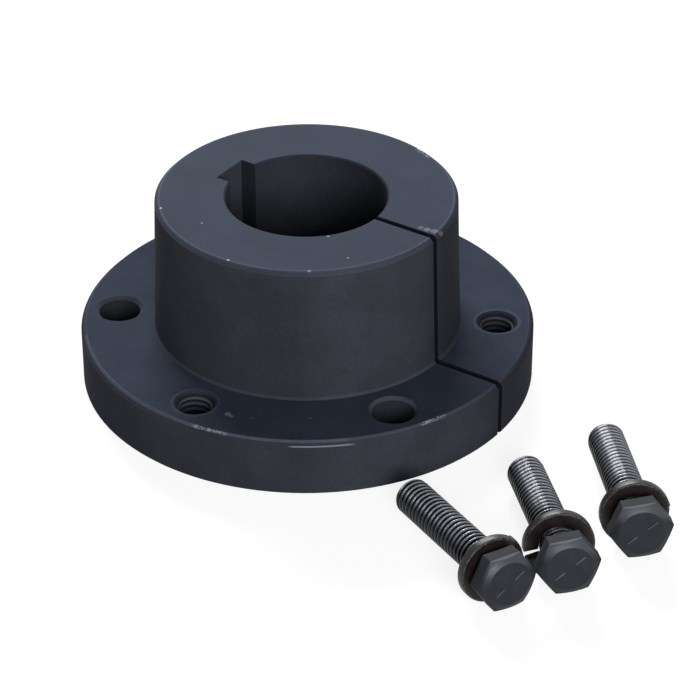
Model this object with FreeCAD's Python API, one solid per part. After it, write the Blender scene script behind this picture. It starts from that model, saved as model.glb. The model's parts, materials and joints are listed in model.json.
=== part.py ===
import FreeCAD, Part
import math
import os

# A flanged taper bushing, slit through one side, with the three cap screws and the three
# spring lock washers that draw it into its hub. The bushing stands on its flange, and the
# screws lie on the same table in front of it, each with its washer on its thread.
#
# Millimetres and degrees. The origin is where the bore axis meets the flange's lower face,
# +Z runs up the bore, and angles round the bore are measured from +X towards +Y.

# Flange
FLANGE_DIAMETER = 117.5
FLANGE_THICKNESS = 15.3
FLANGE_RIM_CHAMFER = 1.25
FLANGE_BASE_CHAMFER = 0.5

# Tapered barrel. Its diameter where it meets the flange is a share of the flange's, which
# leaves a ledge for the screw holes. The taper is three quarters of an inch to the foot
# on the diameter.
BARREL_SHARE = 0.675
BARREL_LENGTH = 36.0
TAPER_ON_DIAMETER = 0.0625
BARREL_TIP_CHAMFER = 0.9
BARREL_ROOT_CHAMFER = 0.5

# Bore, keyway and slit. The keyway lies opposite the slit.
BORE_DIAMETER = 41.3
BORE_CHAMFER = 0.5
KEYWAY_WIDTH = 11.1
KEYWAY_DEPTH = 3.6
SLIT_ANGLE = -33.8
SLIT_WIDTH = 1.6

# Screw holes in the flange: drilled and tapped ones take turns round one circle in the middle
# of the ledge, with the slit halfway between two of them.
HOLES_OF_EACH_KIND = 3
DRILLED_HOLE_CLEARANCE = 1.4
DRILLED_HOLE_CHAMFER = 0.9
TAPPED_HOLE_CLEARANCE = 0.2
TAPPED_HOLE_CHAMFER = 0.7

# Cap screws. The thread is drawn at its outside diameter, in the tapped holes too.
THREAD_DIAMETER = 9.3
SCREW_LENGTH = 42.8
SCREW_TIP_CHAMFER = 1.2
UNDERHEAD_CHAMFER = 0.5
HEAD_ACROSS_FLATS = 13.5
HEAD_HEIGHT = 5.5
HEAD_CHAMFER_ANGLE = 30.0
HEAD_CROWN_SHARE = 0.82
BEARING_FACE_HEIGHT = 0.4
BEARING_FACE_SHARE = 0.95

# Spring lock washers: one turn of a left-hand coil of rectangular wire.
WASHER_CLEARANCE = 0.6
WASHER_WIRE_WIDTH = 3.6
WASHER_WIRE_THICKNESS = 2.4
WASHER_RISE = 2.0
WASHER_GAP = 1.0
WASHER_EDGE_CHAMFER = 0.3

# How the screws lie, the left one nearest to the viewer: their heads stand in a row along X,
# and the middle one's bearing face is this far to the right of the bore axis.
MIDDLE_SCREW_ASIDE = 61.1

# For each screw: its place in that row (a step is the room that a head or a washer takes),
# how much further right and how much nearer to the bushing it lies, the way it points, the
# turn of its head, the space between head and washer, and the turn of the washer's gap.
SCREW_SPOTS = {
    "left": dict(
        step=-1, right=1.3, nearer=-1.2, heading=117.4, head_turn=58.0, washer_space=1.1, gap_turn=135.0
    ),
    "middle": dict(
        step=0, right=0.0, nearer=4.9, heading=99.6, head_turn=53.0, washer_space=3.9, gap_turn=-11.0
    ),
    "right": dict(
        step=1, right=1.2, nearer=18.9, heading=96.2, head_turn=53.0, washer_space=2.7, gap_turn=170.0
    ),
}

# How far a cutting tool runs past the faces that it cuts
OVERCUT = 1.0

V = FreeCAD.Vector
ORIGIN = V(0, 0, 0)
UP = V(0, 0, 1)

flange_radius = FLANGE_DIAMETER / 2
bore_radius = BORE_DIAMETER / 2
barrel_base_radius = BARREL_SHARE * flange_radius
hole_circle_radius = (flange_radius + barrel_base_radius) / 2
thread_radius = THREAD_DIAMETER / 2
bushing_height = FLANGE_THICKNESS + BARREL_LENGTH
washer_inner_radius = thread_radius + WASHER_CLEARANCE / 2
washer_outer_radius = washer_inner_radius + WASHER_WIRE_WIDTH
washer_mean_radius = washer_inner_radius + WASHER_WIRE_WIDTH / 2
head_corner_radius = HEAD_ACROSS_FLATS / math.sqrt(3)


def outline(*points):
    """A closed face in the XZ plane through points given as (radius, height)."""
    corners = [V(radius, 0, height) for radius, height in points]
    return Part.Face(Part.makePolygon(corners + corners[:1]))


def turned(face):
    """The solid that a half section sweeps round the Z axis."""
    return face.revolve(ORIGIN, UP, 360)


def block(low, high):
    """A box between two opposite corners."""
    size = high - low
    return Part.makeBox(size.x, size.y, size.z, low)


def bushing_blank():
    """The turned flange and tapered barrel with the bore through them."""
    half_taper = TAPER_ON_DIAMETER / 2
    chamfer_start = BARREL_LENGTH - BARREL_TIP_CHAMFER
    return turned(outline(
        (bore_radius, BORE_CHAMFER),
        (bore_radius, bushing_height - BORE_CHAMFER),
        (bore_radius + BORE_CHAMFER, bushing_height),
        (barrel_base_radius - BARREL_LENGTH * half_taper - BARREL_TIP_CHAMFER, bushing_height),
        (barrel_base_radius - chamfer_start * half_taper, FLANGE_THICKNESS + chamfer_start),
        (barrel_base_radius - BARREL_ROOT_CHAMFER * half_taper, FLANGE_THICKNESS + BARREL_ROOT_CHAMFER),
        (barrel_base_radius + BARREL_ROOT_CHAMFER, FLANGE_THICKNESS),
        (flange_radius - FLANGE_RIM_CHAMFER, FLANGE_THICKNESS),
        (flange_radius, FLANGE_THICKNESS - FLANGE_RIM_CHAMFER),
        (flange_radius, FLANGE_BASE_CHAMFER),
        (flange_radius - FLANGE_BASE_CHAMFER, 0),
        (bore_radius + BORE_CHAMFER, 0),
    ))


def keyway_cutter():
    """A square-cornered slot along the whole bore, on the -X side."""
    floor = bore_radius + KEYWAY_DEPTH
    return block(V(-floor, -KEYWAY_WIDTH / 2, -OVERCUT), V(0, KEYWAY_WIDTH / 2, bushing_height + OVERCUT))


def slit_cutter():
    """A saw cut from the bore out through barrel and flange, on the +X side."""
    return block(
        V(0, -SLIT_WIDTH / 2, -OVERCUT),
        V(flange_radius + OVERCUT, SLIT_WIDTH / 2, bushing_height + OVERCUT),
    )


def hole_cutter(diameter, chamfer, angle):
    """A hole through the flange, chamfered at its upper face, at an angle round the hole circle."""
    radius = diameter / 2
    tool = turned(outline(
        (0, -OVERCUT),
        (radius, -OVERCUT),
        (radius, FLANGE_THICKNESS - chamfer),
        (radius + chamfer + OVERCUT, FLANGE_THICKNESS + OVERCUT),
        (0, FLANGE_THICKNESS + OVERCUT),
    ))
    tool.translate(V(hole_circle_radius, 0, 0))
    tool.rotate(ORIGIN, UP, angle)
    return tool


def bushing():
    """The whole bushing, worked on with its slit along +X and then turned to where the slit points."""
    step = 360 / HOLES_OF_EACH_KIND
    tapped = THREAD_DIAMETER + TAPPED_HOLE_CLEARANCE
    drilled = THREAD_DIAMETER + DRILLED_HOLE_CLEARANCE
    cutters = [keyway_cutter(), slit_cutter()]
    for number in range(HOLES_OF_EACH_KIND):
        first = step / 4 + number * step
        cutters.append(hole_cutter(tapped, TAPPED_HOLE_CHAMFER, first))
        cutters.append(hole_cutter(drilled, DRILLED_HOLE_CHAMFER, first + step / 2))
    body = bushing_blank()
    for cutter in cutters:
        body = body.cut(cutter)
    body.rotate(ORIGIN, UP, SLIT_ANGLE)
    return body


def screw_head(turn):
    """A hexagon head below Z = 0, its crown chamfered, with a round bearing face under it."""
    angles = [math.radians(turn + 60 * number) for number in range(6)]
    corners = [
        V(head_corner_radius * math.cos(a), head_corner_radius * math.sin(a), -HEAD_HEIGHT)
        for a in angles
    ]
    hexagon = Part.Face(Part.makePolygon(corners + corners[:1]))
    prism = hexagon.extrude(V(0, 0, HEAD_HEIGHT - BEARING_FACE_HEIGHT))
    crown_radius = HEAD_ACROSS_FLATS / 2 * HEAD_CROWN_SHARE
    reach = head_corner_radius + OVERCUT
    drop = (reach - crown_radius) * math.tan(math.radians(HEAD_CHAMFER_ANGLE))
    crown = turned(outline(
        (0, -HEAD_HEIGHT),
        (crown_radius, -HEAD_HEIGHT),
        (reach, drop - HEAD_HEIGHT),
        (reach, 0),
        (0, 0),
    ))
    bearing_radius = HEAD_ACROSS_FLATS / 2 * BEARING_FACE_SHARE
    bearing_face = Part.makeCylinder(bearing_radius, BEARING_FACE_HEIGHT, V(0, 0, -BEARING_FACE_HEIGHT))
    return prism.common(crown).fuse(bearing_face)


def screw_shank():
    """The threaded shank up from Z = 0: a small cone under the head and a chamfered tip."""
    return turned(outline(
        (0, -BEARING_FACE_HEIGHT),
        (thread_radius + UNDERHEAD_CHAMFER, -BEARING_FACE_HEIGHT),
        (thread_radius + UNDERHEAD_CHAMFER, 0),
        (thread_radius, UNDERHEAD_CHAMFER),
        (thread_radius, SCREW_LENGTH - SCREW_TIP_CHAMFER),
        (thread_radius - SCREW_TIP_CHAMFER, SCREW_LENGTH),
        (0, SCREW_LENGTH),
    ))


def cap_screw(head_turn):
    """A hexagon cap screw pointing up +Z, with its bearing face at Z = 0."""
    return screw_head(head_turn).fuse(screw_shank()).removeSplitter()


def wire_section():
    """The outline of the washer's rectangular wire with broken edges, at the start of the coil."""
    inner, outer, thickness = washer_inner_radius, washer_outer_radius, WASHER_WIRE_THICKNESS
    edge = WASHER_EDGE_CHAMFER
    return outline(
        (inner + edge, 0),
        (outer - edge, 0),
        (outer, edge),
        (outer, thickness - edge),
        (outer - edge, thickness),
        (inner + edge, thickness),
        (inner, thickness - edge),
        (inner, edge),
    ).OuterWire


def coil_turn():
    """The part of a full turn that the washer's wire covers."""
    return 1 - WASHER_GAP / (2 * math.pi * washer_mean_radius)


def lock_washer(gap_turn):
    """A left-hand coil that starts at Z = 0 beside the gap and climbs towards +Z."""
    path = Part.makeHelix(WASHER_RISE, WASHER_RISE * coil_turn(), washer_mean_radius)
    coil = Part.Wire(path.Edges).makePipeShell([wire_section()], True, True)
    # The helix is right-handed and starts on +X. Mirroring it in the XZ plane turns its hand.
    coil = coil.mirror(ORIGIN, V(0, 1, 0))
    half_gap = (1 - coil_turn()) * 180
    coil.rotate(ORIGIN, UP, gap_turn - half_gap)
    return coil


def washer_rim_height(spot):
    """How far along the screw the washer's lowest edge is, on its tip side."""
    from_gap_to_bottom = (spot["gap_turn"] + 90) % 360
    edge = WASHER_WIRE_THICKNESS - WASHER_EDGE_CHAMFER
    return spot["washer_space"] + edge + WASHER_RISE * from_gap_to_bottom / 360


def lying(spot):
    """Where a screw's own frame goes when its tip and its washer's rim rest on the table."""
    rim_height = washer_rim_height(spot)
    tip_height = SCREW_LENGTH - SCREW_TIP_CHAMFER
    tilt = math.atan2(washer_outer_radius - thread_radius, tip_height - rim_height)
    room = 2 * max(head_corner_radius, washer_outer_radius)
    seat = V(
        MIDDLE_SCREW_ASIDE + spot["step"] * room + spot["right"],
        spot["nearer"] - flange_radius - SCREW_LENGTH,
        washer_outer_radius * math.cos(tilt) + rim_height * math.sin(tilt),
    )
    # First X, Y, Z to left, up, ahead, then the nose down by the tilt, then round to the heading.
    turn = (
        FreeCAD.Rotation(UP, spot["heading"])
        * FreeCAD.Rotation(V(0, 1, 0), math.degrees(tilt))
        * FreeCAD.Rotation(V(1, 1, 1), 120)
    )
    return FreeCAD.Placement(seat, turn)


def moved(shape, place):
    """The shape carried from its own frame to its place."""
    shape.Placement = place.multiply(shape.Placement)
    return shape


def screw_and_washer(spot):
    """One cap screw with its lock washer on it, lying where the spot says."""
    screw = cap_screw(spot["head_turn"])
    washer = lock_washer(spot["gap_turn"])
    washer.translate(V(0, 0, spot["washer_space"]))
    place = lying(spot)
    return moved(screw, place), moved(washer, place)


def save(shape, name):
    """Write one sub-part as its own STEP file."""
    shape.exportStep("parts/" + name + ".step")
    print(name, "valid", shape.isValid(), "solids", len(shape.Solids), "volume", round(shape.Volume, 1))


def main():
    os.makedirs("parts", exist_ok=True)
    save(bushing(), "taper_bushing")
    for side, spot in SCREW_SPOTS.items():
        screw, washer = screw_and_washer(spot)
        save(screw, "cap_screw_" + side)
        save(washer, "lock_washer_" + side)


main()
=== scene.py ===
import json
import math

import bmesh
import bpy
from bpy.props import FloatProperty, FloatVectorProperty, IntProperty, PointerProperty
from mathutils import Matrix, Vector


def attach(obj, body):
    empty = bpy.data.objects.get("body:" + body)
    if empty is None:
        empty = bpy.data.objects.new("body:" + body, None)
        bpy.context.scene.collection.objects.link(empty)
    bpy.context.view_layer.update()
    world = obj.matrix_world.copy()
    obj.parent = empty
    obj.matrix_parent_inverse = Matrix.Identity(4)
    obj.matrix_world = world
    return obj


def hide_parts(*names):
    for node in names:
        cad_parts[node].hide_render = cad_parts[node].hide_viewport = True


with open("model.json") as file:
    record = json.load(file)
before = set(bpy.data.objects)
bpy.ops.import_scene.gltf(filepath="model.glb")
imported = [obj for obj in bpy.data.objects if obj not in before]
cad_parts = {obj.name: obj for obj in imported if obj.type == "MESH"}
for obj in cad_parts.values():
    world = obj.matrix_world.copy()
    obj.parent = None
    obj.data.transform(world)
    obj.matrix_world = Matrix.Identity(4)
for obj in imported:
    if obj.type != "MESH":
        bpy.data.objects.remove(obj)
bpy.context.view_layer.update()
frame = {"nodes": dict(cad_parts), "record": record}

bl_info = {
    "name": "Flanged taper bushing",
    "version": (1, 0, 0),
    "blender": (4, 5, 0),
    "location": "3D View > Sidebar > Bushing",
    "description": "Finishes a flanged taper bushing and models its threads, screws and washers",
    "category": "Add Mesh",
}

# Pieces are modelled in millimetres about the Z axis and then put in place in metres.
MM = 0.001
BODY = "taper_bushing"
SCREW_SIDES = ("left", "middle", "right")
FULL_TURN = 2 * math.pi
FULL_CIRCLE = 360.0

# Where the bushing's finish changes: heights above the table, and the radii of the rim, of
# the corner at the barrel's foot, of the barrel's faced end and of the bore
FLANGE_TOP = 15.3
BUSHING_TOP = 51.3
FLANGE_RADIUS = 58.75
BARREL_ROOT_RADIUS = 39.9
BARREL_NOSE_RADIUS = 37.7
BORE_RADIUS = 20.65

# The screw holes: radius of their circle, the angles of one of them and between two, and
# the radii of the drilled and the tapped ones
HOLE_CIRCLE = 49.2
FIRST_HOLE = 56.2
HOLE_STEP = 60.0
DRILLED_RADIUS = 5.35
TAPPED_RADIUS = 4.75

# The slit, and the keyway opposite it
SLIT_ANGLE = -33.8
SLIT_HALF_WIDTH = 0.8
KEYWAY_ANGLE = 146.2
KEYWAY_HALF_WIDTH = 5.55
KEYWAY_FLOOR = 24.25

# Painted shade deep in holes, slit, keyway and bore: a near-black laid on the coating there
PAINTED_RECESS_SHADE = (0.004, 0.004, 0.006)

# How far the screw's thread stands out of its root at equal steps along one pitch, as a
# share of its depth
THREAD_PROFILE = (0.04, 0.25, 0.6, 0.92, 1.0, 1.0, 1.0, 0.92, 0.6, 0.25, 0.04)

# Flats round plain turned shapes, and round the cone that trims a hexagon head
ROUND_STEPS = 96
CONE_STEPS = 72

# How far a tool or a joined piece reaches past a surface, and the largest gap that is closed
OVERCUT = 1.0
CLOSE = 0.001

# Where the camera stands, how far it looks down, its lens and its sensor's width
CAMERA_PLACE = (0.011018, -0.636910, 0.413413)
CAMERA_PITCH = 32.703
CAMERA_LENS = 148.51
CAMERA_SENSOR = 36.0

# The point that the lamps shine on, and the strengths of the floor and the sky where they
# are seen and of the sky as a light
LAMP_AIM = (0.0, 0.0, 0.02)
FLOOR_SEEN = 0.85
SKY_SEEN = 1.0
SKY_LIGHT = 0.06

# Small chips and rubs in the coating: place, size in millimetres and strength
MARKS = (
    ((-36.5, -6.9, 51.3), 0.5, 0.6),
    ((-25.9, -14.4, 51.3), 0.4, 0.5),
    ((-18.7, -32.3, 51.3), 0.5, 0.6),
    ((1.1, -37.5, 51.3), 0.5, 0.5),
    ((5.6, -20.9, 51.2), 0.5, 0.5),
    ((10.5, -31.3, 51.3), 0.4, 0.5),
    ((-19.1, -46.1, 15.3), 1.0, 0.5),
    ((-18.2, -47.0, 15.3), 0.7, 0.4),
    ((-13.1, -47.8, 15.3), 0.4, 0.3),
    ((1.2, -47.8, 15.3), 0.4, 0.3),
    ((28.6, -16.6, 51.3), 0.9, 0.3),
    ((30.2, -17.6, 51.3), 1.1, 0.35),
    ((31.9, -18.3, 51.3), 1.2, 0.3),
    ((33.8, -18.5, 50.8), 1.1, 0.4),
)


class HoleThreadSizes(bpy.types.PropertyGroup):
    """Sizes of the threads in the flange's tapped holes, in millimetres."""

    pitch: FloatProperty(name="Pitch", description="Distance between turns", default=1.5875, min=0.2)
    depth: FloatProperty(name="Depth", description="How far a turn stands into the hole", default=0.86)
    mouth: FloatProperty(name="Mouth", description="Chamfer at the hole's upper end", default=0.7)
    steps: IntProperty(name="Steps", description="Flats round one turn", default=64, min=12)


class CapScrewSizes(bpy.types.PropertyGroup):
    """Sizes of a cap screw, in millimetres."""

    across_flats: FloatProperty(name="Across flats", description="Width of the hexagon", default=13.5)
    head_height: FloatProperty(name="Head height", description="Bearing face to crown", default=5.5)
    face_height: FloatProperty(name="Face height", description="Round bearing face", default=0.4)
    crown_share: FloatProperty(name="Crown share", description="Flat crown to hexagon", default=0.82)
    crown_angle: FloatProperty(
        name="Crown angle",
        description="Slope of the crown's chamfer",
        default=math.radians(30),
        subtype="ANGLE",
    )
    edge: FloatProperty(name="Edge", description="Rounding of the head's edges", default=0.16)
    length: FloatProperty(name="Length", description="Bearing face to tip", default=42.8)
    thread_radius: FloatProperty(name="Thread radius", description="At the crests", default=4.64)
    thread_depth: FloatProperty(name="Thread depth", description="Crest to root", default=0.85)
    pitch: FloatProperty(name="Pitch", description="Distance between turns", default=1.5875, min=0.2)
    tip_chamfer: FloatProperty(name="Tip chamfer", description="Turned on the tip", default=1.2)
    steps: IntProperty(name="Steps", description="Flats round one turn", default=56, min=12)


class LockWasherSizes(bpy.types.PropertyGroup):
    """Sizes of a spring lock washer, in millimetres."""

    inner_radius: FloatProperty(name="Inner radius", description="Inside of the coil", default=4.95)
    wire_width: FloatProperty(name="Wire width", description="Across the wire", default=3.6)
    wire_thickness: FloatProperty(name="Wire thickness", description="Along the screw", default=2.4)
    edge: FloatProperty(name="Edge", description="Rounding of the wire's edges", default=0.34)
    rise: FloatProperty(name="Rise", description="Climb of one full turn", default=2.0)
    gap: FloatProperty(name="Gap", description="Between the wire's ends", default=1.0)
    steps: IntProperty(name="Steps", description="Flats round the coil", default=120, min=12)


class FinishColours(bpy.types.PropertyGroup):
    """Colours of the finishes."""

    body: FloatVectorProperty(
        name="Body",
        description="Phosphate coating",
        default=(0.042, 0.0455, 0.059),
        size=3,
        subtype="COLOR",
    )
    # Bluer than the body: partly the faced finish, partly painted light from above
    flats: FloatVectorProperty(
        name="Flats",
        description="Coating on the faced ends",
        default=(0.037, 0.0462, 0.0705),
        size=3,
        subtype="COLOR",
    )
    # Bare metal, for rubbed spots and for painted glints and highlights
    wear_and_glints: FloatVectorProperty(
        name="Worn metal",
        description="Rubbed edges",
        default=(0.42, 0.45, 0.52),
        size=3,
        subtype="COLOR",
    )
    screw: FloatVectorProperty(
        name="Screws",
        description="Black oxide",
        default=(0.0125, 0.0145, 0.02),
        size=3,
        subtype="COLOR",
    )
    washer: FloatVectorProperty(
        name="Washers",
        description="Brown-black oxide",
        default=(0.0135, 0.009, 0.0085),
        size=3,
        subtype="COLOR",
    )
    floor: FloatVectorProperty(
        name="Floor",
        description="Table and backdrop",
        default=(0.3, 0.3, 0.3),
        size=3,
        subtype="COLOR",
    )


class Value:
    """A number in a shader's nodes. Arithmetic on it adds Math nodes."""

    def __init__(self, shader, socket):
        self.shader = shader
        self.socket = socket

    def maths(self, operation, *others):
        inputs = {"Value": self}
        for number, other in enumerate(others, 1):
            inputs["Value_%03d" % number] = other
        return self.shader.add("Math", {"operation": operation}, inputs, "Value")

    def __add__(self, other):
        return self.maths("ADD", other)

    def __radd__(self, other):
        return self.maths("ADD", other)

    def __sub__(self, other):
        return self.maths("SUBTRACT", other)

    def __rsub__(self, other):
        inputs = {"Value": other, "Value_001": self}
        return self.shader.add("Math", {"operation": "SUBTRACT"}, inputs, "Value")

    def __mul__(self, other):
        return self.maths("MULTIPLY", other)

    def __rmul__(self, other):
        return self.maths("MULTIPLY", other)

    def __abs__(self):
        return self.maths("ABSOLUTE")

    def root(self):
        return self.maths("SQRT")

    def at_most(self, other):
        return self.maths("MINIMUM", other)

    def at_least(self, other):
        return self.maths("MAXIMUM", other)

    def fade(self, low, high):
        """0 up to low and 1 from high on, with a smooth change between. Low may be the larger one."""
        settings = {"interpolation_type": "SMOOTHSTEP"}
        inputs = {"Value": self, "From Min": low, "From Max": high}
        return self.shader.add("MapRange", settings, inputs, "Result")


class Shader:
    """One material's nodes, written as expressions on the place on the piece, in millimetres."""

    def __init__(self, name):
        self.material = bpy.data.materials.new(name)
        self.material.use_nodes = True
        self.tree = self.material.node_tree
        self.surface = self.tree.nodes["Principled BSDF"]

    def add(self, kind, settings, inputs, output):
        """Adds a node, makes its settings, feeds its sockets and gives one of its outputs."""
        node = self.tree.nodes.new("ShaderNode" + kind)
        for name, setting in settings.items():
            setattr(node, name, setting)
        for name, fed in inputs.items():
            self.feed(self.socket(node.inputs, name), fed)
        return Value(self, self.socket(node.outputs, output))

    def socket(self, sockets, identifier):
        return next(one for one in sockets if one.identifier == identifier)

    def feed(self, socket, fed):
        if isinstance(fed, Value):
            self.tree.links.new(fed.socket, socket)
        elif hasattr(fed, "__len__"):
            opaque = (1.0,) if socket.type == "RGBA" else ()
            socket.default_value = tuple(fed) + opaque
        else:
            socket.default_value = fed

    def set(self, **inputs):
        """Feeds sockets of the surface shader. A name's underscores stand for spaces."""
        for name, fed in inputs.items():
            self.feed(self.surface.inputs[name.replace("_", " ")], fed)

    def place(self):
        """The point on the piece, in millimetres."""
        point = self.add("TexCoord", {}, {}, "Object")
        inputs = {"Vector": point, "Vector_001": (1 / MM, 1 / MM, 1 / MM)}
        return self.add("VectorMath", {"operation": "MULTIPLY"}, inputs, "Vector")

    def part(self, point, letter):
        """X, Y or Z of the point."""
        return self.add("SeparateXYZ", {}, {"Vector": point}, letter)

    def measured(self, operation, first, second):
        """A number from two vectors: their distance or their dot product."""
        inputs = {"Vector": first, "Vector_001": second}
        return self.add("VectorMath", {"operation": operation}, inputs, "Value")

    def local(self, point, place):
        """X, Y and Z of the point in the own frame of a piece, in millimetres."""
        inputs = {"Vector": point, "Vector_001": place.translation / MM}
        offset = self.add("VectorMath", {"operation": "SUBTRACT"}, inputs, "Vector")
        return [self.measured("DOT_PRODUCT", offset, axis) for axis in place.to_3x3().transposed()]

    def noise(self, point, size, detail=2.0, roughness=0.5):
        """Soft blotches of about the given size, from 0 to 1."""
        inputs = {"Vector": point, "Scale": 1 / size, "Detail": detail, "Roughness": roughness}
        return self.add("TexNoise", {}, inputs, "Fac")

    def mix(self, share, first, second):
        """A colour between two colours."""
        inputs = {"Factor_Float": share, "A_Color": first, "B_Color": second}
        return self.add("Mix", {"data_type": "RGBA"}, inputs, "Result_Color")

    def scaled(self, colour, factor):
        """A lighter or darker colour made from one that varies."""
        inputs = {"Vector": colour, "Scale": factor}
        return self.add("VectorMath", {"operation": "SCALE"}, inputs, "Vector")

    def bump(self, height, depth):
        """A surface normal from a height between 0 and 1. The depth is in millimetres."""
        inputs = {"Height": height, "Strength": 1.0, "Distance": depth * MM}
        return self.add("Bump", {}, inputs, "Normal")


def shade(colour, factor):
    """A lighter or darker colour."""
    return tuple(factor * channel for channel in colour)


def near(value, middle, reach):
    """1 at the middle value, falling to 0 at the reach on both sides of it."""
    return abs(value - middle).fade(reach, 0.4 * reach)


def nearest_hole(angle, radius):
    """Distance in millimetres from the axis of the nearest screw hole."""
    past_middle = angle + (FULL_CIRCLE - FIRST_HOLE + HOLE_STEP / 2)
    beside = past_middle.maths("FLOORED_MODULO", HOLE_STEP) - HOLE_STEP / 2
    along = (beside * (math.pi / 180)).maths("COSINE")
    squared = radius * radius + HOLE_CIRCLE**2 - radius * along * (2 * HOLE_CIRCLE)
    return squared.at_least(0.0).root()


def directed(x, y, degrees):
    """Distances along and across a direction in the XY plane."""
    angle = math.radians(degrees)
    along = x * math.cos(angle) + y * math.sin(angle)
    across = y * math.cos(angle) - x * math.sin(angle)
    return along, across


def body_finish(colours):
    """Matte blue-black phosphate: soft blotches, fine grain, turning marks, rubbed edges and chips, painted
    highlights on edges, painted light and shade on walls and upward faces, and painted shade in recesses.
    """
    shader = Shader("bushing_phosphate")
    point = shader.place()
    x, y, z = (shader.part(point, letter) for letter in "XYZ")
    radius = (x * x + y * y).root()
    angle = y.maths("ARCTAN2", x) * (180 / math.pi)
    blotches = shader.noise(point, 14.0, 3.0, 0.6)
    grain = shader.noise(point, 0.45, 3.0, 0.7)
    turning = shader.noise(shader.add("CombineXYZ", {}, {"X": radius, "Z": z}, "Vector"), 0.5, 1.0)
    scratches = shader.noise(point, 0.5, 3.0, 0.7)
    mottling = shader.noise(point, 0.9, 4.0, 0.75)

    def window(low, high):
        """1 between two angles round the bore, in degrees."""
        return angle.fade(low - 1.5, low + 0.5) * angle.fade(high + 1.5, high - 0.5)

    # The faced ends, and the walls between them
    faced = z.fade(BUSHING_TOP - 0.4, BUSHING_TOP - 0.1)
    ledge = near(z, FLANGE_TOP, 0.12)
    flat = faced.at_least(ledge)
    walls = (1.0 - flat) * radius.fade(30.0, 35.0)

    # Edges and corners
    rim = near(z, FLANGE_TOP - 0.2, 0.5) * near(radius, FLANGE_RADIUS - 1.05, 0.5)
    rim_foot = near(z, FLANGE_TOP - 1.2, 0.25) * radius.fade(FLANGE_RADIUS - 0.45, FLANGE_RADIUS - 0.15)
    nose = near(radius + z, BARREL_NOSE_RADIUS + BUSHING_TOP, 0.7)
    nose = nose * z.fade(BUSHING_TOP - 1.3, BUSHING_TOP - 0.9)
    nose_top = near(radius, BARREL_NOSE_RADIUS - 0.7, 0.9) * faced
    root = near(radius, BARREL_ROOT_RADIUS, 0.45) * near(z, FLANGE_TOP + 0.3, 0.5)

    # Screw holes: their mouths and the thread's turns, which get painted highlights, and the walls inside,
    # which get painted shade
    hole = nearest_hole(angle, radius)
    mouth = near(hole, DRILLED_RADIUS + 0.5, 0.55) * near(z, FLANGE_TOP - 0.4, 0.8)
    turns = hole.fade(TAPPED_RADIUS - 0.3, TAPPED_RADIUS - 0.6) * z.fade(5.0, 14.0)
    inside = hole.fade(DRILLED_RADIUS + 0.15, DRILLED_RADIUS - 0.15) * z.fade(FLANGE_TOP, FLANGE_TOP - 1.1)
    inside = inside * near(radius, HOLE_CIRCLE, 20.0) * (1.0 - turns)

    # Slit, keyway's side wall and bore, darkened as painted shade that in the bore changes by angle, and
    # the keyway's floor, lightened as painted light
    along, across = directed(x, y, SLIT_ANGLE)
    slit = abs(across).fade(SLIT_HALF_WIDTH + 0.06, SLIT_HALF_WIDTH + 0.03) * along.fade(0.0, 1.0)
    outwards, beside = directed(x, y, KEYWAY_ANGLE)
    key_wall_shade = near(beside, -KEYWAY_HALF_WIDTH, 0.1) * outwards.fade(BORE_RADIUS - 1.15, BORE_RADIUS - 0.45)
    key_wall_shade = key_wall_shade * outwards.fade(KEYWAY_FLOOR + 0.45, KEYWAY_FLOOR + 0.15)
    lit_key_floor = near(outwards, KEYWAY_FLOOR, 0.1)
    lit_key_floor = lit_key_floor * abs(beside).fade(KEYWAY_HALF_WIDTH, KEYWAY_HALF_WIDTH - 0.15)
    bore = near(radius, BORE_RADIUS, 0.5) * (0.25 + angle.fade(110.0, 40.0) * angle.fade(0.0, 20.0) * 0.4)
    inside = inside.at_least(slit * 1.3).at_least(key_wall_shade * 0.9).at_least(bore)

    # Rubbed edges and chips, and painted glints on the flange's rim
    rubbed = scratches.fade(0.46, 0.58)
    wear_and_glints = rim * (window(-118, -110) + window(-60, -54)) * rubbed
    # A painted glint along the rim's lower edge at the front
    wear_and_glints = wear_and_glints.at_least(rim_foot * window(-93, -79) * 0.7)
    wear_and_glints = wear_and_glints.at_least((nose + nose_top) * window(32, 40) * rubbed * 0.4)
    for place, size, strength in MARKS:
        ragged = shader.measured("DISTANCE", point, place) + (scratches - 0.5) * size
        wear_and_glints = wear_and_glints.at_least(ragged.fade(size, 0.5 * size) * strength)

    # The coating: bluer on the upward faces, partly as painted light from above, with a painted sheen on
    # the faced end;
    # lighter on edges, partly rubbed and partly painted highlight; painted light on one side of the walls,
    # painted shade on another
    edges = rim * (0.3 + window(-170, -80) * 0.5) + nose * 0.3 + root * 0.25 + mouth * 0.3
    edges = (edges + turns * 0.7 + lit_key_floor * 0.25).at_most(1.0)
    painted_light_side = near(angle, -63.0, 32.0)
    painted_shade_side = near(angle, -14.0, 26.0)
    coat = shader.mix(flat, tuple(colours.body), tuple(colours.flats))
    coat = shader.scaled(coat, 1.0 + walls * (painted_light_side * 0.22 - painted_shade_side * 0.28 - 0.07))
    coat = shader.mix(faced, coat, shade(colours.flats, 1.16))
    plain = shader.mix(blotches.fade(0.3, 0.75), shader.scaled(coat, 0.9), shader.scaled(coat, 1.15))
    plain = shader.mix(edges, plain, shader.scaled(coat, 2.4))
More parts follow.
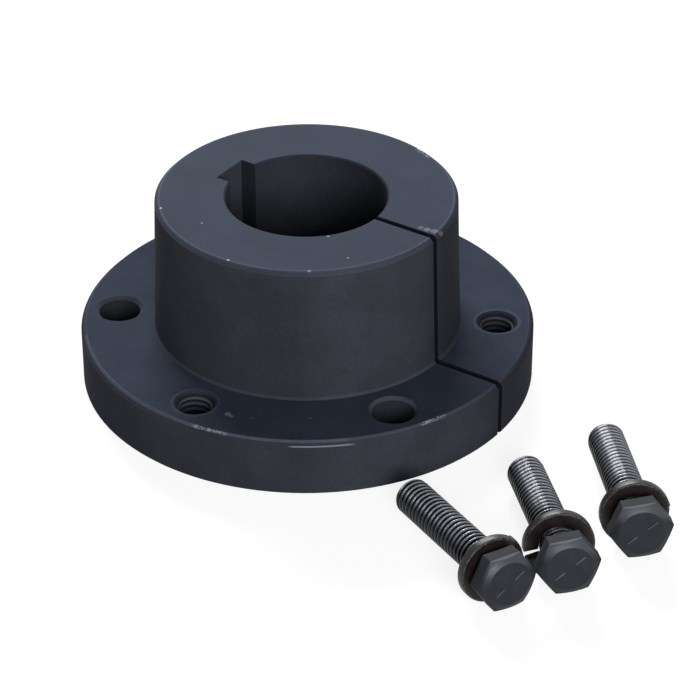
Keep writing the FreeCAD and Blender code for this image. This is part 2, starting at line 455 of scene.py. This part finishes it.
    # Painted shade in holes, slit, keyway and bore
    plain = shader.mix((inside * 0.65).at_most(0.85), plain, PAINTED_RECESS_SHADE)
    plain = shader.scaled(plain, 0.72 + mottling * 0.56)
    flecked = shader.mix(grain.fade(0.58, 0.78) * 0.4, plain, shader.scaled(coat, 1.9))
    shader.set(
        Base_Color=shader.mix(wear_and_glints.at_most(1.0) * 0.6, flecked, tuple(colours.wear_and_glints)),
        Metallic=wear_and_glints * 0.5,
        Roughness=0.92 + (blotches - 0.5) * 0.1 - wear_and_glints * 0.3 - faced * 0.15 - edges * 0.3,
        Specular_IOR_Level=0.07,
        Normal=shader.bump(grain * 0.8 + turning * 0.35, 0.02),
    )
    return shader.material


def screw_finish(colours, sizes, name, place):
    """Black oxide, matt on the forged head and smooth on the rolled thread, rubbed on the grade dashes,
    with painted highlights on the upper crests and chamfer and painted shade in the grooves.
    """
    shader = Shader(name)
    point = shader.place()
    x, y, z = shader.local(point, place)
    radius = (x * x + y * y).root()
    grain = shader.noise(point, 0.35, 3.0, 0.7)
    blotches = shader.noise(point, 3.5, 3.0, 0.6)

    # The thread: crests on the side that looks up, lighter as a painted highlight, and grooves, darker as
    # painted shade
    shank = z.fade(-0.3, 0.1)
    up = place.to_3x3().inverted() @ Vector((0, 0, 1))
    height = x * up.x + y * up.y
    ridge = sizes.thread_radius
    crest = shank * radius.fade(ridge - 0.3, ridge - 0.08) * height.fade(1.5, 4.4)
    groove_shade = shank * radius.fade(ridge - 0.12, ridge - 0.55)

    # The head: upper part of the crown's chamfer, lighter as a painted highlight, sides, and grade dashes
    crown = sizes.across_flats / 2 * sizes.crown_share
    chamfer = radius.fade(crown - 0.05, crown + 0.1) * z.fade(-3.6, -4.0)
    upper_chamfer_highlight = chamfer * height.fade(1.5, 5.0)
    sides = (1.0 - shank) * z.fade(-4.9, -4.5)
    tick = z.fade(-sizes.head_height - 0.03, -sizes.head_height - 0.09)

    plain = shader.mix(blotches.fade(0.3, 0.7), shade(colours.screw, 0.8), shade(colours.screw, 1.4))
    # Painted shade in the thread's grooves
    plain = shader.mix(groove_shade * 0.8, plain, shade(colours.screw, 0.1))
    # Lighter: rubbed grade dashes, and painted highlights on the upper chamfer and the upper crests
    bare_and_highlight = tick * blotches * 0.35 + upper_chamfer_highlight * 0.13 + crest * 0.65
    roughness = 0.52 - shank * 0.35 - upper_chamfer_highlight * 0.14 + sides * 0.25
    shader.set(
        Base_Color=shader.mix(bare_and_highlight, plain, tuple(colours.wear_and_glints)),
        Roughness=roughness + (blotches - 0.5) * 0.12 + (grain - 0.5) * 0.1,
        Metallic=crest * 0.2,
        Specular_IOR_Level=0.24,
        Normal=shader.bump(grain * (1.0 - shank * 0.8), 0.012),
    )
    return shader.material


def washer_finish(colours, sizes, name, place):
    """Brown-black oxide on rolled wire, lighter along the coil's outer edge, partly rubbed and partly a
    painted highlight.
    """
    shader = Shader(name)
    point = shader.place()
    x, y, z = shader.local(point, place)
    radius = (x * x + y * y).root()
    outer = sizes.inner_radius + sizes.wire_width
    grain = shader.noise(point, 0.4, 3.0, 0.7)
    blotches = shader.noise(point, 2.6, 3.0, 0.6)
    # Lighter outer edge: partly rubbing, partly a painted highlight
    rubbed = near(radius, outer - 0.25, 0.3) * grain.fade(0.4, 0.65)
    plain = shader.mix(blotches.fade(0.35, 0.7), shade(colours.washer, 0.8), shade(colours.washer, 1.5))
    shader.set(
        Base_Color=shader.mix(rubbed * 0.24, plain, tuple(colours.wear_and_glints)),
        Roughness=0.38 + (blotches - 0.5) * 0.16 + (grain - 0.5) * 0.1,
        Specular_IOR_Level=0.2,
        Normal=shader.bump(grain, 0.012),
    )
    return shader.material


def floor_finish(colours):
    """Pale paint that is seen as white, so that it joins the white backdrop."""
    shader = Shader("table_white")
    camera = shader.add("LightPath", {}, {}, "Is Camera Ray")
    glossy = shader.add("LightPath", {}, {}, "Is Glossy Ray")
    through = shader.add("LightPath", {}, {}, "Is Transmission Ray")
    shader.set(
        Base_Color=tuple(colours.floor),
        Roughness=0.9,
        Specular_IOR_Level=0.0,
        Emission_Color=(1.0, 1.0, 1.0),
        Emission_Strength=camera.at_least(glossy).at_least(through) * FLOOR_SEEN,
    )
    return shader.material


def select_only(piece):
    """Leaves one object selected and active, in object mode."""
    bpy.ops.object.select_all(action="DESELECT")
    piece.select_set(True)
    bpy.context.view_layer.objects.active = piece


def edit(piece, kind, chosen):
    """Opens edit mode with the chosen vertices, edges or faces selected."""
    select_only(piece)
    bpy.ops.object.mode_set(mode="EDIT")
    bpy.ops.mesh.select_mode(type=kind)
    bpy.ops.mesh.select_all(action="DESELECT")
    mesh = bmesh.from_edit_mesh(piece.data)
    for element in {"VERT": mesh.verts, "EDGE": mesh.edges, "FACE": mesh.faces}[kind]:
        if chosen(element):
            element.select_set(True)
    mesh.select_flush_mode()
    bmesh.update_edit_mesh(piece.data)


def done_editing():
    """Goes back to object mode."""
    bpy.ops.object.mode_set(mode="OBJECT")


def added(primitive, **settings):
    """Adds a primitive with nothing else selected, its turn and place already in its mesh."""
    bpy.ops.object.select_all(action="DESELECT")
    primitive(**settings)
    piece = bpy.context.active_object
    bpy.ops.object.transform_apply(location=True, rotation=True, scale=True)
    return piece


def resized(piece, factors, place):
    """Stretches a piece about the origin and then moves it, all in its mesh."""
    edit(piece, "VERT", all_of)
    bpy.ops.transform.resize(value=factors, center_override=(0, 0, 0))
    bpy.ops.transform.translate(value=place)
    done_editing()
    return piece


def modified(piece, kind, **settings):
    """Adds a modifier to the piece and applies it."""
    select_only(piece)
    modifier = piece.modifiers.new(kind.title(), kind)
    for name, setting in settings.items():
        setattr(modifier, name, setting)
    bpy.ops.object.modifier_apply(modifier=modifier.name)
    return piece


def combined(piece, tool, operation):
    """Cuts, joins or trims the piece with another one, which is then deleted."""
    modified(piece, "BOOLEAN", operation=operation, solver="EXACT", object=tool)
    bpy.data.objects.remove(tool)


def smoothed(piece, degrees):
    """Shades the piece smooth where its faces meet at less than an angle."""
    select_only(piece)
    bpy.ops.object.shade_smooth_by_angle(angle=math.radians(degrees))
    return piece


def all_of(element):
    """Chooses every vertex, edge or face."""
    return True


def faced_outwards(piece):
    """Turns every face of a closed piece outwards."""
    edit(piece, "FACE", all_of)
    bpy.ops.mesh.normals_make_consistent(inside=False)
    done_editing()


def cut_level(piece, height, keep_above):
    """Cuts the piece at a height, keeps one side and closes the cut."""
    edit(piece, "FACE", all_of)
    bpy.ops.mesh.bisect(
        plane_co=(0, 0, height),
        plane_no=(0, 0, 1),
        use_fill=True,
        clear_inner=keep_above,
        clear_outer=not keep_above,
    )
    done_editing()


def standing_rectangle(inner, outer, low, high):
    """A rectangle that stands in the XZ plane, between two radii and two heights."""
    piece = added(bpy.ops.mesh.primitive_plane_add, size=1, rotation=(math.pi / 2, 0, 0))
    return resized(piece, (outer - inner, 1, high - low), ((inner + outer) / 2, 0, (low + high) / 2))


def swept_ring(piece, radians, rise, steps):
    """Sweeps a rectangle's outline round the Z axis while it climbs, and closes both ends."""
    edit(piece, "FACE", all_of)
    bpy.ops.mesh.delete(type="ONLY_FACE")
    done_editing()
    modified(
        piece,
        "SCREW",
        angle=radians,
        screw_offset=rise,
        steps=steps,
        render_steps=steps,
        use_merge_vertices=False,
    )
    edit(piece, "EDGE", lambda edge: edge.is_boundary)
    bpy.ops.mesh.edge_face_add()
    done_editing()
    faced_outwards(piece)


def thread_solid(radius, depth, pitch, low, high, steps):
    """A threaded rod between two heights. One pitch of its side is bent and swept round."""
    root = radius - depth
    rod = standing_rectangle(root - OVERCUT, root, low - pitch, low)
    edit(rod, "VERT", lambda vertex: vertex.co.x < root - OVERCUT / 2)
    bpy.ops.mesh.delete(type="VERT")
    done_editing()
    edit(rod, "EDGE", all_of)
    bpy.ops.mesh.subdivide(number_cuts=len(THREAD_PROFILE))
    done_editing()
    parts = len(THREAD_PROFILE) + 1
    for number, share in enumerate(THREAD_PROFILE, 1):
        height = low - pitch + pitch * number / parts
        edit(rod, "VERT", lambda vertex: abs(vertex.co.z - height) < 0.01 * pitch)
        bpy.ops.transform.translate(value=(share * depth, 0, 0))
        done_editing()
    turns = math.ceil((high - low) / pitch) + 2
    modified(
        rod,
        "SCREW",
        angle=FULL_TURN,
        screw_offset=pitch,
        iterations=turns,
        steps=steps,
        render_steps=steps,
        use_merge_vertices=True,
        merge_threshold=CLOSE,
    )
    edit(rod, "VERT", all_of)
    bpy.ops.mesh.remove_doubles(threshold=CLOSE)
    done_editing()
    cut_level(rod, low, True)
    cut_level(rod, high, False)
    faced_outwards(rod)
    return rod


def turned_rod(radius, low, high, chamfer=0.0):
    """A plain rod with an optional chamfer round its upper end."""
    rod = added(
        bpy.ops.mesh.primitive_cylinder_add,
        vertices=ROUND_STEPS,
        radius=radius,
        depth=high - low,
        location=(0, 0, (low + high) / 2),
    )
    if chamfer:
        edit(rod, "EDGE", lambda edge: min(v.co.z for v in edge.verts) > high - CLOSE)
        bpy.ops.mesh.bevel(offset=chamfer, segments=1, affect="EDGES")
        done_editing()
    return rod


def hexagon_head(sizes):
    """The head below Z = 0, a corner on +X: a hexagon trimmed by a cone, with softened edges."""
    corner = sizes.across_flats / math.sqrt(3)
    low, high = -sizes.head_height, -sizes.face_height
    head = added(
        bpy.ops.mesh.primitive_cylinder_add,
        vertices=6,
        radius=corner,
        depth=high - low,
        location=(0, 0, (low + high) / 2),
        rotation=(0, 0, math.radians(30)),
    )
    crown = sizes.across_flats / 2 * sizes.crown_share
    depth = high + OVERCUT - low
    cone = added(
        bpy.ops.mesh.primitive_cone_add,
        vertices=CONE_STEPS,
        radius1=crown,
        radius2=crown + depth / math.tan(sizes.crown_angle),
        depth=depth,
        location=(0, 0, low + depth / 2),
        rotation=(0, 0, math.pi / CONE_STEPS),
    )
    combined(head, cone, "INTERSECT")
    return modified(
        head,
        "BEVEL",
        width=sizes.edge,
        segments=3,
        limit_method="ANGLE",
        angle_limit=math.radians(24),
    )


def grade_ticks(sizes):
    """Two low raised dashes across the crown, in line with each other."""
    outwards = Matrix.Translation((3.0, 0, 0.13 - sizes.head_height))
    ticks = []
    for turn in (150, 330):
        tick = added(bpy.ops.mesh.primitive_cube_add, size=1)
        resized(tick, (2.9, 0.36, 0.5), (0, 0, 0))
        modified(tick, "BEVEL", width=0.1, segments=2)
        tick.data.transform(Matrix.Rotation(math.radians(turn), 4, "Z") @ outwards)
        ticks.append(tick)
    return ticks


def cap_screw(sizes):
    """A threaded hexagon cap screw pointing up +Z, its bearing face at Z = 0."""
    radius, depth = sizes.thread_radius, sizes.thread_depth
    thread_start = 0.9
    screw = thread_solid(radius, depth, sizes.pitch, thread_start, sizes.length, sizes.steps)
    trim = turned_rod(radius + 0.02, -OVERCUT, sizes.length, sizes.tip_chamfer)
    combined(screw, trim, "INTERSECT")
    neck = turned_rod(radius - depth / 2, -OVERCUT, thread_start + 0.3)
    face = turned_rod(sizes.across_flats * 0.475, -sizes.face_height - 0.2, 0)
    for piece in [neck, face, hexagon_head(sizes)] + grade_ticks(sizes):
        combined(screw, piece, "UNION")
    return smoothed(screw, 32)


def lock_washer(sizes):
    """A left-hand coil that starts on +X at Z = 0 and climbs."""
    inner = sizes.inner_radius
    washer = standing_rectangle(inner, inner + sizes.wire_width, 0, sizes.wire_thickness)
    edit(washer, "VERT", all_of)
    bpy.ops.mesh.bevel(offset=sizes.edge, segments=4, affect="VERTICES")
    done_editing()
    share = 1 - sizes.gap / (FULL_TURN * (inner + sizes.wire_width / 2))
    swept_ring(washer, -FULL_TURN * share, sizes.rise * share, sizes.steps)
    return smoothed(washer, 35)


def hole_thread(sizes, wall):
    """The ridge of an inside thread, from the flange's lower face up to the hole's mouth."""
    base = wall + 0.06
    crest = wall - sizes.depth
    low, high = -sizes.pitch, -0.14 * sizes.pitch
    ridge = standing_rectangle(crest, base, low, high)
    edit(ridge, "VERT", lambda vertex: vertex.co.x < (crest + base) / 2)
    bpy.ops.transform.resize(value=(1, 1, 0.2), center_override=(crest, 0, (low + high) / 2))
    done_editing()
    turns = math.ceil(FLANGE_TOP / sizes.pitch) + 1
    swept_ring(ridge, FULL_TURN * turns, sizes.pitch * turns, sizes.steps * turns)
    cut_level(ridge, 0.02, True)
    cut_level(ridge, FLANGE_TOP - sizes.mouth, False)
    deep = wall + 2 * OVERCUT
    countersink = added(
        bpy.ops.mesh.primitive_cone_add,
        vertices=ROUND_STEPS,
        radius1=0,
        radius2=deep,
        depth=deep,
        location=(0, 0, FLANGE_TOP - sizes.mouth - wall + deep / 2),
    )
    combined(ridge, countersink, "DIFFERENCE")
    return smoothed(ridge, 35)


def put(pattern, name, place, material, node=None):
    """Copies a finished piece to its place, in metres, as a piece of its own."""
    piece = pattern.copy()
    piece.data = pattern.data.copy()
    piece.name = piece.data.name = name
    bpy.context.scene.collection.objects.link(piece)
    piece.data.transform(place @ Matrix.Scale(MM, 4))
    piece.data.materials.clear()
    piece.data.materials.append(material)
    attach(piece, "root")
    if node:
        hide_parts(node)


def end_disc(mesh, axis, side):
    """Centre of the flat round face at one end of a solid that is turned about the axis."""
    flat = [face for face in mesh.polygons if face.normal.dot(axis) * side > 0.999]
    furthest = max(face.center.dot(axis) * side for face in flat)
    disc = [face for face in flat if face.center.dot(axis) * side > furthest - 0.05 * MM]
    area = sum(face.area for face in disc)
    return sum((face.center * face.area for face in disc), Vector()) / area


def screw_place(node, head_height):
    """Where a cap screw lies: bearing face at the origin, Z to the tip, a head corner on X."""
    mesh = frame["nodes"][node].data
    points = [vertex.co.copy() for vertex in mesh.vertices]
    middle = sum(points, Vector()) / len(points)
    far = max(points, key=lambda point: (point - middle).length)
    opposite = max(points, key=lambda point: (point - far).length)
    rough = (far - opposite).normalized()
    flats = [face for face in mesh.polygons if abs(face.normal.dot(rough)) > 0.9]
    square = max(flats, key=lambda face: face.area).normal
    crown, tip = sorted(
        (end_disc(mesh, square, side) for side in (-1, 1)),
        key=lambda centre: -spread(points, centre, square),
    )
    axis = (tip - crown).normalized()
    corner = max(points, key=lambda point: off_axis(point, crown, axis).length)
    x_axis = off_axis(corner, crown, axis).normalized()
    y_axis = axis.cross(x_axis)
    turn = Matrix((x_axis, y_axis, axis)).transposed().to_4x4()
    return Matrix.Translation(crown + axis * head_height * MM) @ turn


def off_axis(point, centre, axis):
    """The part of the way from the centre to the point that is square to the axis."""
    return (point - centre) - axis * (point - centre).dot(axis)


def spread(points, centre, axis):
    """Largest distance from the axis among the points near one end."""
    close = [point for point in points if abs((point - centre).dot(axis)) < 3 * MM]
    return max(off_axis(point, centre, axis).length for point in close)


def washer_place(node, screw):
    """Where a lock washer lies: on its screw's axis, turned and lifted to the start of its coil."""
    inverse = screw.inverted()
    points = [inverse @ vertex.co for vertex in frame["nodes"][node].data.vertices]
    lowest = min(point.z for point in points)
    start = [point for point in points if point.z < lowest + 0.01 * MM]
    mean = sum(start, Vector()) / len(start)
    turn = Matrix.Rotation(math.atan2(mean.y, mean.x), 4, "Z")
    return screw @ Matrix.Translation((0, 0, lowest)) @ turn


class BUSHING_OT_finish_body(bpy.types.Operator):
    """Give the bushing its phosphate finish"""

    bl_idname = "bushing.finish_body"
    bl_label = "Finish the body"

    def execute(self, context):
        slots = frame["nodes"][BODY].data.materials
        slots.clear()
        slots.append(body_finish(context.scene.finish_colours))
        return {"FINISHED"}


class BUSHING_OT_hole_threads(bpy.types.Operator):
    """Model the threads of the flange's tapped holes"""

    bl_idname = "bushing.hole_threads"
    bl_label = "Thread the tapped holes"

    def execute(self, context):
        record = frame["record"]
        holes = [one for one in record["physics"]["openings"] if one["name"].startswith("tapped_hole")]
        mount = next(one for one in record["mounts"] if one["name"] == "jack_screw_holes")
        pattern = hole_thread(context.scene.hole_thread_sizes, mount["dims"]["hole_r_mm"])
        material = frame["nodes"][BODY].data.materials[0]
        for number, hole in enumerate(holes, 1):
            low, high = (Vector(corner) for corner in hole["box_m"])
            middle = (low + high) / 2
            place = Matrix.Translation((middle.x, middle.y, 0))
            put(pattern, "hole_thread_%d" % number, place, material)
        bpy.data.objects.remove(pattern)
        return {"FINISHED"}


class BUSHING_OT_cap_screws(bpy.types.Operator):
    """Model the three threaded cap screws"""

    bl_idname = "bushing.cap_screws"
    bl_label = "Cap screws"

    def execute(self, context):
        sizes = context.scene.cap_screw_sizes
        pattern = cap_screw(sizes)
        for side in SCREW_SIDES:
            node = "cap_screw_" + side
            place = screw_place(node, sizes.head_height)
            material = screw_finish(context.scene.finish_colours, sizes, "screw_oxide_" + side, place)
            put(pattern, "threaded_screw_" + side, place, material, node)
        bpy.data.objects.remove(pattern)
        return {"FINISHED"}


class BUSHING_OT_lock_washers(bpy.types.Operator):
    """Model the three spring lock washers"""

    bl_idname = "bushing.lock_washers"
    bl_label = "Lock washers"

    def execute(self, context):
        head_height = context.scene.cap_screw_sizes.head_height
        sizes = context.scene.lock_washer_sizes
        pattern = lock_washer(sizes)
        for side in SCREW_SIDES:
            node = "lock_washer_" + side
            place = washer_place(node, screw_place("cap_screw_" + side, head_height))
            material = washer_finish(context.scene.finish_colours, sizes, "washer_oxide_" + side, place)
            put(pattern, "coil_washer_" + side, place, material, node)
        bpy.data.objects.remove(pattern)
        return {"FINISHED"}


def soft_lamp(name, place, size, power):
    """A wide rectangular lamp that shines on the bushing."""
    lamp = bpy.data.lights.new(name, "AREA")
    lamp.shape = "RECTANGLE"
    lamp.size, lamp.size_y = size
    lamp.energy = power
    holder = bpy.data.objects.new(name, lamp)
    bpy.context.scene.collection.objects.link(holder)
    holder.location = place
    holder.rotation_euler = (Vector(LAMP_AIM) - Vector(place)).to_track_quat("-Z", "Y").to_euler()


class BUSHING_OT_studio(bpy.types.Operator):
    """Set up the white table, the lamps, the sky and the camera"""

    bl_idname = "bushing.studio"
    bl_label = "Studio"

    def execute(self, context):
        scene = context.scene
        table = added(bpy.ops.mesh.primitive_plane_add, size=8, location=(0, 0, 0))
        table.name = "table_top"
        table.data.materials.append(floor_finish(scene.finish_colours))
        self.sky(scene)
        soft_lamp("back_softbox", place=(-0.17, 0.82, 0.65), size=(0.6, 0.25), power=13)
        soft_lamp("front_softbox", place=(0.2, -0.96, 0.42), size=(0.5, 0.4), power=7.5)
        self.camera(scene)
        scene.view_settings.view_transform = "Standard"
        return {"FINISHED"}

    def sky(self, scene):
        """An even sky: white where it is seen, directly or in a reflection, and softer as a light."""
        world = bpy.data.worlds.new("sky")
        scene.world = world
        world.use_nodes = True
        nodes, links = world.node_tree.nodes, world.node_tree.links
        path = nodes.new("ShaderNodeLightPath")
        seen = path.outputs["Is Camera Ray"]
        for ray in ("Is Glossy Ray", "Is Transmission Ray"):
            either = nodes.new("ShaderNodeMath")
            either.operation = "MAXIMUM"
            links.new(seen, either.inputs[0])
            links.new(path.outputs[ray], either.inputs[1])
            seen = either.outputs[0]
        strength = nodes.new("ShaderNodeMapRange")
        strength.inputs["To Min"].default_value = SKY_LIGHT
        strength.inputs["To Max"].default_value = SKY_SEEN
        links.new(seen, strength.inputs["Value"])
        sky = nodes["Background"]
        sky.inputs["Color"].default_value = (1, 1, 1, 1)
        links.new(strength.outputs["Result"], sky.inputs["Strength"])

    def camera(self, scene):
        """The photograph's long lens, looking down at the bushing from the front."""
        camera = bpy.data.cameras.new("camera")
        camera.lens = CAMERA_LENS
        camera.sensor_width = CAMERA_SENSOR
        holder = bpy.data.objects.new("camera", camera)
        scene.collection.objects.link(holder)
        holder.location = CAMERA_PLACE
        holder.rotation_euler = (math.radians(90 - CAMERA_PITCH), 0, 0)
        camera.clip_start, camera.clip_end = 0.01, 50
        scene.camera = holder


class BUSHING_PT_panel(bpy.types.Panel):
    """A button for each operator, and the sizes and colours that they use"""

    bl_label = "Taper bushing"
    bl_idname = "BUSHING_PT_panel"
    bl_space_type = "VIEW_3D"
    bl_region_type = "UI"
    bl_category = "Bushing"

    def draw(self, context):
        for operator in OPERATORS:
            self.layout.operator(operator.bl_idname)
        for group in GROUPS:
            self.layout.label(text=group.replace("_", " "))
            settings = getattr(context.scene, group)
            for name in settings.bl_rna.properties.keys():
                if name not in ("rna_type", "name"):
                    self.layout.prop(settings, name)


OPERATORS = (
    BUSHING_OT_finish_body,
    BUSHING_OT_hole_threads,
    BUSHING_OT_cap_screws,
    BUSHING_OT_lock_washers,
    BUSHING_OT_studio,
)
GROUPS = {
    "hole_thread_sizes": HoleThreadSizes,
    "cap_screw_sizes": CapScrewSizes,
    "lock_washer_sizes": LockWasherSizes,
    "finish_colours": FinishColours,
}


def register():
    for group, settings in GROUPS.items():
        bpy.utils.register_class(settings)
        setattr(bpy.types.Scene, group, PointerProperty(type=settings))
    for operator in OPERATORS:
        bpy.utils.register_class(operator)
    bpy.utils.register_class(BUSHING_PT_panel)


def unregister():
    bpy.utils.unregister_class(BUSHING_PT_panel)
    for operator in reversed(OPERATORS):
        bpy.utils.unregister_class(operator)
    for group, settings in reversed(GROUPS.items()):
        delattr(bpy.types.Scene, group)
        bpy.utils.unregister_class(settings)


def main():
    register()
    bpy.ops.bushing.finish_body()
    bpy.ops.bushing.hole_threads()
    bpy.ops.bushing.cap_screws()
    bpy.ops.bushing.lock_washers()
    bpy.ops.bushing.studio()


if __name__ == "__main__":
    main()
